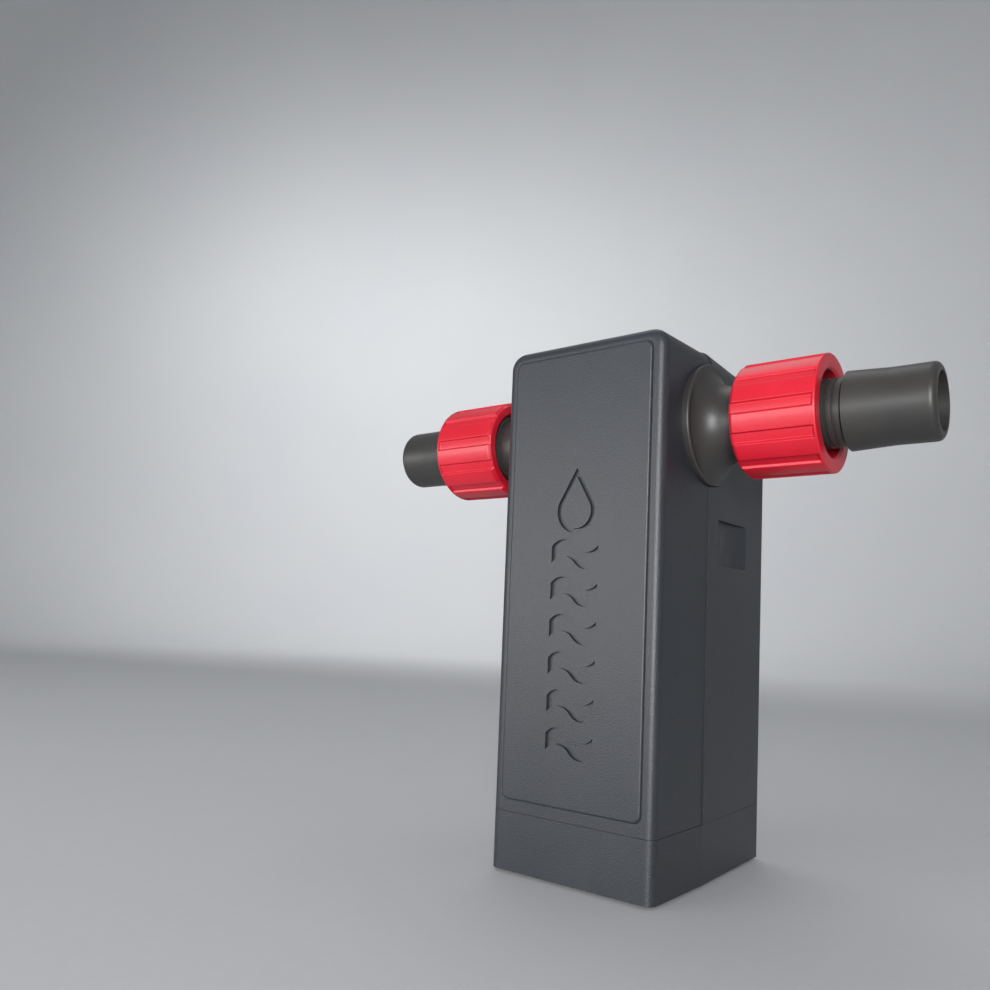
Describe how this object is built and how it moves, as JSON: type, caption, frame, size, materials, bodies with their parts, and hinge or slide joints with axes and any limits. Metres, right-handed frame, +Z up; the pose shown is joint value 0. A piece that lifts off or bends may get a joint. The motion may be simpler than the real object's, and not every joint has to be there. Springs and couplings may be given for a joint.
{
  "type": "in-line uv clarifier",
  "caption": "Tall moulded pond and aquarium ultraviolet clarifier with a hose nozzle and ribbed lock nut on each side, a plug-in lamp and a wall bracket.",
  "frame": {"origin": "middle of the footprint, on the surface that the rubber feet stand on", "axes": "+X towards the outlet nozzle, -Y out of the front panel, +Y towards the wall, +Z up"},
  "size_m": [0.16, 0.065, 0.14],
  "materials": {
    "housing_grey": "fine matte moulding texture",
    "nozzle_black": "satin",
    "nut_red": "satin gloss",
    "grip_ring": "natural acetal",
    "chamber_black": "moulded",
    "baffle": "moulded",
    "gland_red": "satin",
    "seal_rubber": "matte",
    "foot_rubber": "matte",
    "quartz": "clear",
    "lamp_glass": "clear",
    "lamp_white": "satin",
    "contact_brass": "bright",
    "steel": "zinc plated",
    "board_green": "solder mask",
    "ferrite": "sintered",
    "winding_tape": "tape",
    "capacitor_can": "sleeved",
    "film_block": "dipped",
    "chip_black": "moulded",
    "lead_sheath": "satin",
    "jack_black": "satin",
    "bracket_grey": "matte"
  },
  "bodies": {
    "housing": {"front_cover": "housing_grey", "rear_housing": "housing_grey", "service_base": "housing_grey", "shell_screws": "steel", "base_screws": "steel", "base_gasket": "seal_rubber", "rubber_feet": "foot_rubber", "water_chamber": "chamber_black", "chamber_cap": "chamber_black", "flow_baffle": "baffle", "sleeve_holder": "chamber_black", "chamber_gasket": "seal_rubber", "chamber_screws": "steel", "quartz_sleeve": "quartz", "sleeve_oring": "seal_rubber", "gland_nut": "gland_red", "inlet_nozzle": "nozzle_black", "outlet_nozzle": "nozzle_black", "inlet_oring": "seal_rubber", "outlet_oring": "seal_rubber", "contact_holder": "lamp_white", "contact_blades": "contact_brass", "driver_board": "board_green", "board_screws": "steel", "transformer_core": "ferrite", "transformer_winding": "winding_tape", "capacitors": "capacitor_can", "ballast_capacitor": "film_block", "transistors": "chip_black", "lamp_leads": "lead_sheath", "power_leads": "lead_sheath", "power_jack": "jack_black", "jack_pin": "contact_brass", "jack_nut": "steel"},
    "lamp_module": {"lamp_cap": "housing_grey", "lamp_cap_screws": "steel", "lamp_cap_seal": "seal_rubber", "lamp_contacts": "contact_brass", "lamp_socket": "lamp_white"},
    "lamp": {"lamp_base": "lamp_white", "lamp_pins": "contact_brass", "lamp_tube": "lamp_glass", "lamp_electrodes": "steel"},
    "inlet_ring": {"inlet_clamp_ring": "grip_ring"},
    "inlet_nut": {"inlet_lock_nut": "nut_red"},
    "outlet_ring": {"outlet_clamp_ring": "grip_ring"},
    "outlet_nut": {"outlet_lock_nut": "nut_red"},
    "bracket": {"wall_bracket": "bracket_grey"}
  },
  "joints": [
    {"name": "inlet_ring_slide", "type": "slide", "parent": "housing", "child": "inlet_ring", "axis": [-1, 0, 0], "range_m": [-0.003, 0.006]},
    {"name": "inlet_nut_turn", "type": "hinge", "parent": "inlet_ring", "child": "inlet_nut", "pos_m": [-0.045, -0.007, 0.119], "axis": [-1, 0, 0], "range_deg": [-360, 720]},
    {"name": "outlet_ring_slide", "type": "slide", "parent": "housing", "child": "outlet_ring", "axis": [1, 0, 0], "range_m": [0, 0.009]},
    {"name": "outlet_nut_turn", "type": "hinge", "parent": "outlet_ring", "child": "outlet_nut", "pos_m": [0.045, -0.007, 0.119], "axis": [1, 0, 0], "range_deg": [0, 1080]},
    {"name": "lamp_module_slide", "type": "slide", "parent": "housing", "child": "lamp_module", "axis": [0, 0, -1], "range_m": [0, 0.125]},
    {"name": "lamp_unplug", "type": "slide", "parent": "lamp_module", "child": "lamp", "axis": [0, 0, 1], "range_m": [0, 0.0048]},
    {"name": "bracket_release", "type": "slide", "parent": "housing", "child": "bracket", "axis": [0, 0, -1], "range_m": [0, 0.012]}
  ],
  "couplings": [
    {"joint": "inlet_ring_slide", "follows": "inlet_nut_turn", "m_per_rad": 0.00047746},
    {"joint": "outlet_ring_slide", "follows": "outlet_nut_turn", "m_per_rad": 0.00047746}
  ]
}
